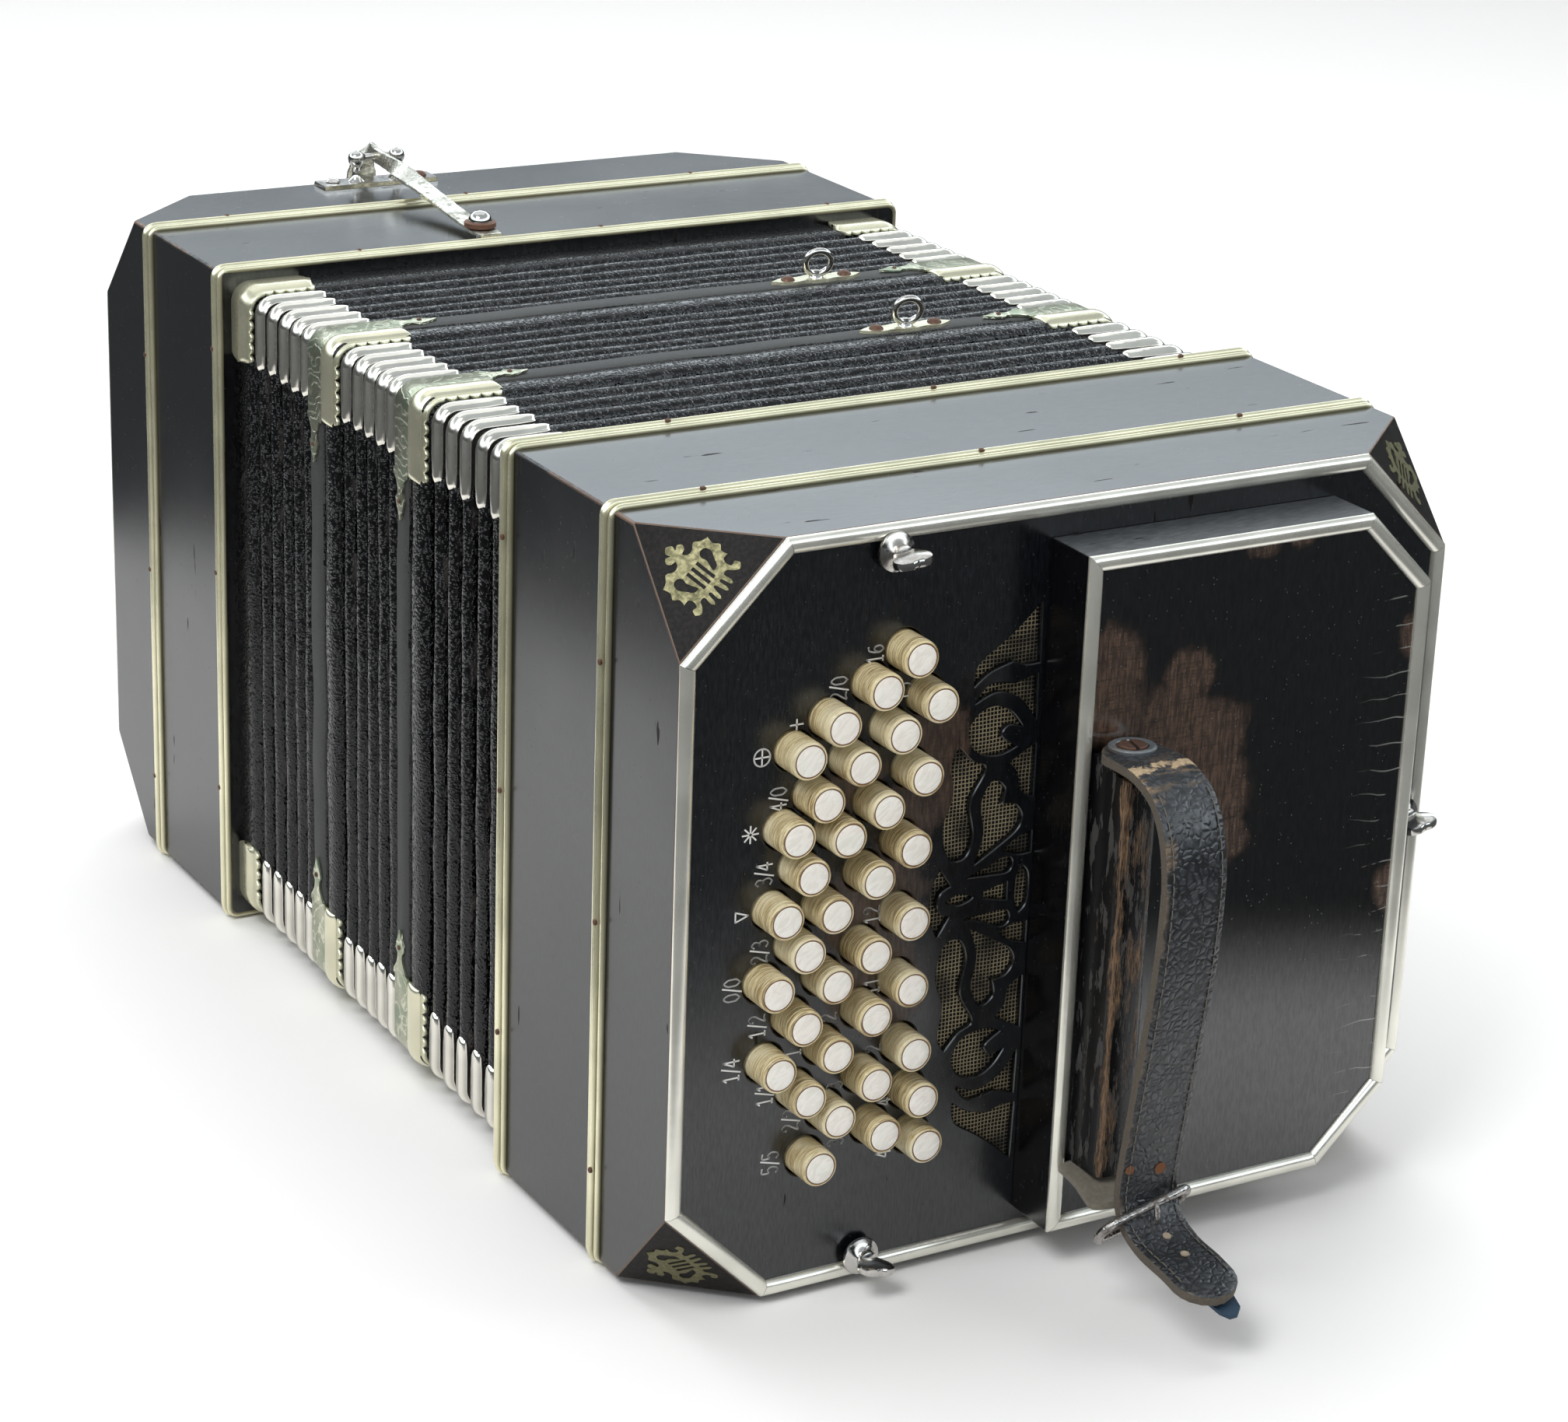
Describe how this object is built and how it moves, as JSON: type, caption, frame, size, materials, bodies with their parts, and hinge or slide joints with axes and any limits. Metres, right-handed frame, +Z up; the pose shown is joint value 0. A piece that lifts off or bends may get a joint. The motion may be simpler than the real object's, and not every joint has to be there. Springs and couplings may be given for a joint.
{
  "type": "bandoneon",
  "caption": "Square-ended bellows instrument with button keyboards, fretted end plates, hand straps, a folding leather bellows and a lever-worked air valve.",
  "frame": {"origin": "under the middle of the instrument, on the surface it stands on", "axes": "+Y along the bellows from the bass end to the treble end, +Z up, +X towards the hand boxes"},
  "size_m": [0.2488, 0.569, 0.233],
  "materials": {
    "black_wood": "black lacquer, satin, worn to brown on its edges",
    "rail_wood": "black paint worn through to brown wood",
    "bare_wood": "bare, planed",
    "bellows_leather": "black, rubbed on the folds",
    "strap_leather": "black grained, tan at the edges",
    "nickel": "tarnished nickel",
    "buttons": "aged ivory colour, polished",
    "gauze": "open weave"
  },
  "bodies": {
    "bass_end": {"bass_end_plate": "black_wood", "bass_action_case": "black_wood", "bass_reed_case": "black_wood", "bass_key_action": "bare_wood", "bass_grille_cloth": "gauze", "bass_hand_box": "black_wood", "bass_hand_rail": "rail_wood", "bass_hand_strap": "strap_leather", "bellows_section_bass": "bellows_leather"},
    "bass_button_01": {"bass_button_01": "buttons"},
    "bass_button_02": {"bass_button_02": "buttons"},
    "bass_button_03": {"bass_button_03": "buttons"},
    "bass_button_04": {"bass_button_04": "buttons"},
    "bass_button_05": {"bass_button_05": "buttons"},
    "bass_button_06": {"bass_button_06": "buttons"},
    "bass_button_07": {"bass_button_07": "buttons"},
    "bass_button_08": {"bass_button_08": "buttons"},
    "bass_button_09": {"bass_button_09": "buttons"},
    "bass_button_10": {"bass_button_10": "buttons"},
    "bass_button_11": {"bass_button_11": "buttons"},
    "bass_button_12": {"bass_button_12": "buttons"},
    "bass_button_13": {"bass_button_13": "buttons"},
    "bass_button_14": {"bass_button_14": "buttons"},
    "bass_button_15": {"bass_button_15": "buttons"},
    "bass_button_16": {"bass_button_16": "buttons"},
    "bass_button_17": {"bass_button_17": "buttons"},
    "bass_button_18": {"bass_button_18": "buttons"},
    "bass_button_19": {"bass_button_19": "buttons"},
    "bass_button_20": {"bass_button_20": "buttons"},
    "bass_button_21": {"bass_button_21": "buttons"},
    "bass_button_22": {"bass_button_22": "buttons"},
    "bass_button_23": {"bass_button_23": "buttons"},
    "bass_button_24": {"bass_button_24": "buttons"},
    "bass_button_25": {"bass_button_25": "buttons"},
    "bass_button_26": {"bass_button_26": "buttons"},
    "bass_button_27": {"bass_button_27": "buttons"},
    "bass_button_28": {"bass_button_28": "buttons"},
    "bass_button_29": {"bass_button_29": "buttons"},
    "bass_button_30": {"bass_button_30": "buttons"},
    "bass_button_31": {"bass_button_31": "buttons"},
    "bass_button_32": {"bass_button_32": "buttons"},
    "bass_button_33": {"bass_button_33": "buttons"},
    "bass_button_34": {"bass_button_34": "buttons"},
    "bass_button_35": {"bass_button_35": "buttons"},
    "bass_thumb_screw_top": {"bass_thumb_screw_top": "nickel"},
    "bass_thumb_screw_bottom": {"bass_thumb_screw_bottom": "nickel"},
    "bass_thumb_screw_side": {"bass_thumb_screw_side": "nickel"},
    "bellows_frame_bass": {"bellows_frame_bass": "bellows_leather", "bellows_section_middle": "bellows_leather"},
    "bellows_frame_treble": {"bellows_frame_treble": "bellows_leather", "bellows_section_treble": "bellows_leather"},
    "treble_end": {"treble_end_plate": "black_wood", "treble_action_case": "black_wood", "treble_reed_case": "black_wood", "treble_key_action": "buttons", "treble_hand_box": "black_wood", "treble_hand_strap": "strap_leather", "air_lever_bracket": "nickel"},
    "air_lever": {"air_lever": "nickel"},
    "air_valve": {"air_valve": "nickel"}
  },
  "joints": [
    {"name": "bass_button_01_press", "type": "slide", "parent": "bass_end", "child": "bass_button_01", "axis": [0, 1, 0], "range_m": [0, 0.004], "stiffness_N_per_m": 120, "springref_m": -0.005},
    {"name": "bass_button_02_press", "type": "slide", "parent": "bass_end", "child": "bass_button_02", "axis": [0, 1, 0], "range_m": [0, 0.004], "stiffness_N_per_m": 120, "springref_m": -0.005},
    {"name": "bass_button_03_press", "type": "slide", "parent": "bass_end", "child": "bass_button_03", "axis": [0, 1, 0], "range_m": [0, 0.004], "stiffness_N_per_m": 120, "springref_m": -0.005},
    {"name": "bass_button_04_press", "type": "slide", "parent": "bass_end", "child": "bass_button_04", "axis": [0, 1, 0], "range_m": [0, 0.004], "stiffness_N_per_m": 120, "springref_m": -0.005},
    {"name": "bass_button_05_press", "type": "slide", "parent": "bass_end", "child": "bass_button_05", "axis": [0, 1, 0], "range_m": [0, 0.004], "stiffness_N_per_m": 120, "springref_m": -0.005},
    {"name": "bass_button_06_press", "type": "slide", "parent": "bass_end", "child": "bass_button_06", "axis": [0, 1, 0], "range_m": [0, 0.004], "stiffness_N_per_m": 120, "springref_m": -0.005},
    {"name": "bass_button_07_press", "type": "slide", "parent": "bass_end", "child": "bass_button_07", "axis": [0, 1, 0], "range_m": [0, 0.004], "stiffness_N_per_m": 120, "springref_m": -0.005},
    {"name": "bass_button_08_press", "type": "slide", "parent": "bass_end", "child": "bass_button_08", "axis": [0, 1, 0], "range_m": [0, 0.004], "stiffness_N_per_m": 120, "springref_m": -0.005},
    {"name": "bass_button_09_press", "type": "slide", "parent": "bass_end", "child": "bass_button_09", "axis": [0, 1, 0], "range_m": [0, 0.004], "stiffness_N_per_m": 120, "springref_m": -0.005},
    {"name": "bass_button_10_press", "type": "slide", "parent": "bass_end", "child": "bass_button_10", "axis": [0, 1, 0], "range_m": [0, 0.004], "stiffness_N_per_m": 120, "springref_m": -0.005},
    {"name": "bass_button_11_press", "type": "slide", "parent": "bass_end", "child": "bass_button_11", "axis": [0, 1, 0], "range_m": [0, 0.004], "stiffness_N_per_m": 120, "springref_m": -0.005},
    {"name": "bass_button_12_press", "type": "slide", "parent": "bass_end", "child": "bass_button_12", "axis": [0, 1, 0], "range_m": [0, 0.004], "stiffness_N_per_m": 120, "springref_m": -0.005},
    {"name": "bass_button_13_press", "type": "slide", "parent": "bass_end", "child": "bass_button_13", "axis": [0, 1, 0], "range_m": [0, 0.004], "stiffness_N_per_m": 120, "springref_m": -0.005},
    {"name": "bass_button_14_press", "type": "slide", "parent": "bass_end", "child": "bass_button_14", "axis": [0, 1, 0], "range_m": [0, 0.004], "stiffness_N_per_m": 120, "springref_m": -0.005},
    {"name": "bass_button_15_press", "type": "slide", "parent": "bass_end", "child": "bass_button_15", "axis": [0, 1, 0], "range_m": [0, 0.004], "stiffness_N_per_m": 120, "springref_m": -0.005},
    {"name": "bass_button_16_press", "type": "slide", "parent": "bass_end", "child": "bass_button_16", "axis": [0, 1, 0], "range_m": [0, 0.004], "stiffness_N_per_m": 120, "springref_m": -0.005},
    {"name": "bass_button_17_press", "type": "slide", "parent": "bass_end", "child": "bass_button_17", "axis": [0, 1, 0], "range_m": [0, 0.004], "stiffness_N_per_m": 120, "springref_m": -0.005},
    {"name": "bass_button_18_press", "type": "slide", "parent": "bass_end", "child": "bass_button_18", "axis": [0, 1, 0], "range_m": [0, 0.004], "stiffness_N_per_m": 120, "springref_m": -0.005},
    {"name": "bass_button_19_press", "type": "slide", "parent": "bass_end", "child": "bass_button_19", "axis": [0, 1, 0], "range_m": [0, 0.004], "stiffness_N_per_m": 120, "springref_m": -0.005},
    {"name": "bass_button_20_press", "type": "slide", "parent": "bass_end", "child": "bass_button_20", "axis": [0, 1, 0], "range_m": [0, 0.004], "stiffness_N_per_m": 120, "springref_m": -0.005},
    {"name": "bass_button_21_press", "type": "slide", "parent": "bass_end", "child": "bass_button_21", "axis": [0, 1, 0], "range_m": [0, 0.004], "stiffness_N_per_m": 120, "springref_m": -0.005},
    {"name": "bass_button_22_press", "type": "slide", "parent": "bass_end", "child": "bass_button_22", "axis": [0, 1, 0], "range_m": [0, 0.004], "stiffness_N_per_m": 120, "springref_m": -0.005},
    {"name": "bass_button_23_press", "type": "slide", "parent": "bass_end", "child": "bass_button_23", "axis": [0, 1, 0], "range_m": [0, 0.004], "stiffness_N_per_m": 120, "springref_m": -0.005},
    {"name": "bass_button_24_press", "type": "slide", "parent": "bass_end", "child": "bass_button_24", "axis": [0, 1, 0], "range_m": [0, 0.004], "stiffness_N_per_m": 120, "springref_m": -0.005},
    {"name": "bass_button_25_press", "type": "slide", "parent": "bass_end", "child": "bass_button_25", "axis": [0, 1, 0], "range_m": [0, 0.004], "stiffness_N_per_m": 120, "springref_m": -0.005},
    {"name": "bass_button_26_press", "type": "slide", "parent": "bass_end", "child": "bass_button_26", "axis": [0, 1, 0], "range_m": [0, 0.004], "stiffness_N_per_m": 120, "springref_m": -0.005},
    {"name": "bass_button_27_press", "type": "slide", "parent": "bass_end", "child": "bass_button_27", "axis": [0, 1, 0], "range_m": [0, 0.004], "stiffness_N_per_m": 120, "springref_m": -0.005},
    {"name": "bass_button_28_press", "type": "slide", "parent": "bass_end", "child": "bass_button_28", "axis": [0, 1, 0], "range_m": [0, 0.004], "stiffness_N_per_m": 120, "springref_m": -0.005},
    {"name": "bass_button_29_press", "type": "slide", "parent": "bass_end", "child": "bass_button_29", "axis": [0, 1, 0], "range_m": [0, 0.004], "stiffness_N_per_m": 120, "springref_m": -0.005},
    {"name": "bass_button_30_press", "type": "slide", "parent": "bass_end", "child": "bass_button_30", "axis": [0, 1, 0], "range_m": [0, 0.004], "stiffness_N_per_m": 120, "springref_m": -0.005},
    {"name": "bass_button_31_press", "type": "slide", "parent": "bass_end", "child": "bass_button_31", "axis": [0, 1, 0], "range_m": [0, 0.004], "stiffness_N_per_m": 120, "springref_m": -0.005},
    {"name": "bass_button_32_press", "type": "slide", "parent": "bass_end", "child": "bass_button_32", "axis": [0, 1, 0], "range_m": [0, 0.004], "stiffness_N_per_m": 120, "springref_m": -0.005},
    {"name": "bass_button_33_press", "type": "slide", "parent": "bass_end", "child": "bass_button_33", "axis": [0, 1, 0], "range_m": [0, 0.004], "stiffness_N_per_m": 120, "springref_m": -0.005},
    {"name": "bass_button_34_press", "type": "slide", "parent": "bass_end", "child": "bass_button_34", "axis": [0, 1, 0], "range_m": [0, 0.004], "stiffness_N_per_m": 120, "springref_m": -0.005},
    {"name": "bass_button_35_press", "type": "slide", "parent": "bass_end", "child": "bass_button_35", "axis": [0, 1, 0], "range_m": [0, 0.004], "stiffness_N_per_m": 120, "springref_m": -0.005},
    {"name": "bass_thumb_screw_top_turn", "type": "hinge", "parent": "bass_end", "child": "bass_thumb_screw_top", "pos_m": [-0.061, -0.2012, 0.2119], "axis": [0, 1, 0], "continuous": true},
    {"name": "bass_thumb_screw_bottom_turn", "type": "hinge", "parent": "bass_end", "child": "bass_thumb_screw_bottom", "pos_m": [-0.062, -0.2012, 0.0087], "axis": [0, 1, 0], "continuous": true},
    {"name": "bass_thumb_screw_side_turn", "type": "hinge", "parent": "bass_end", "child": "bass_thumb_screw_side", "pos_m": [0.114, -0.2012, 0.1092], "axis": [0, 1, 0], "continuous": true},
    {"name": "bellows_draw_bass", "type": "slide", "parent": "bass_end", "child": "bellows_frame_bass", "axis": [0, 1, 0], "range_m": [0, 0.1], "deforming": ["bellows_section_bass"]},
    {"name": "bellows_draw_middle", "type": "slide", "parent": "bellows_frame_bass", "child": "bellows_frame_treble", "axis": [0, 1, 0], "range_m": [0, 0.1], "deforming": ["bellows_section_middle"]},
    {"name": "bellows_draw_treble", "type": "slide", "parent": "bellows_frame_treble", "child": "treble_end", "axis": [0, 1, 0], "range_m": [0, 0.1], "deforming": ["bellows_section_treble"]},
    {"name": "air_lever_press", "type": "hinge", "parent": "treble_end", "child": "air_lever", "pos_m": [-0.027, 0.1947, 0.2287], "axis": [-1, 0, 0], "range_deg": [0, 5], "stiffness_Nm_per_rad": 2, "springref_deg": -8.59},
    {"name": "air_valve_hang", "type": "hinge", "parent": "air_lever", "child": "air_valve", "pos_m": [-0.027, 0.1132, 0.2258], "axis": [1, 0, 0], "range_deg": [0, 5]}
  ],
  "couplings": [
    {"joint": "bellows_draw_middle", "follows": "bellows_draw_bass", "ratio": 1},
    {"joint": "bellows_draw_treble", "follows": "bellows_draw_bass", "ratio": 1},
    {"joint": "air_valve_hang", "follows": "air_lever_press", "ratio": 1}
  ]
}
